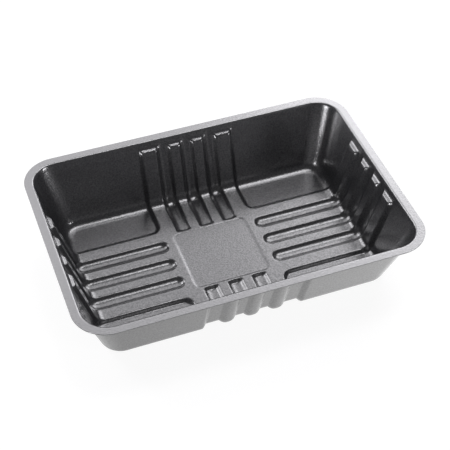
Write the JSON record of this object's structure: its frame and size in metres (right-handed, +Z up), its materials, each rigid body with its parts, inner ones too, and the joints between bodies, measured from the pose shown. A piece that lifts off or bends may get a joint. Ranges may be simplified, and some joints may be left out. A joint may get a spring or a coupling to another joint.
{
  "type": "plastic food tray",
  "caption": "Oblong black thermoformed food tray with a flat flange, tapered ribbed walls and a raised cross on the floor with round channels, open at the top.",
  "frame": {"origin": "middle of the footprint, on the plane the four low corner panels stand on", "axes": "+Z up through the open mouth, X along the long side, Y along the short side; in the picture the camera is on the -X, -Y side"},
  "size_m": [0.227, 0.1562, 0.0467],
  "materials": {
    "tray_sheet": "fine-grained with a satin sheen that catches on the round edges"
  },
  "bodies": {
    "root": {"tray": "tray_sheet"}
  },
  "joints": []
}
